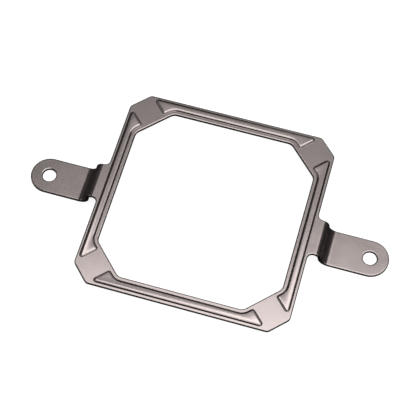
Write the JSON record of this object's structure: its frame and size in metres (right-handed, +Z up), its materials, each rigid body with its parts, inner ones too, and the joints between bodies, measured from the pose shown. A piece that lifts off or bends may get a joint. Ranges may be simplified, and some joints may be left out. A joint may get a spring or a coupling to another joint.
{
  "type": "cpu cooler mounting bracket",
  "caption": "Stamped sheet-steel retention bracket: a square ring with cut corners, raised stiffening ribs and a stepped screw ear on opposite sides.",
  "frame": {"origin": "on the ground under the middle of the ring, level with the undersides of the ears that it stands on", "axes": "+X runs from ear to ear, +Y along the ring's other side, +Z up through the ring's opening, with the raised ribs on top"},
  "size_m": [0.1102, 0.064, 0.0068],
  "materials": {
    "plated_steel": "satin dark nickel plate over stamped steel, fine even grain, rounded punched edges"
  },
  "bodies": {
    "root": {"mounting_bracket": "plated_steel"}
  },
  "joints": []
}
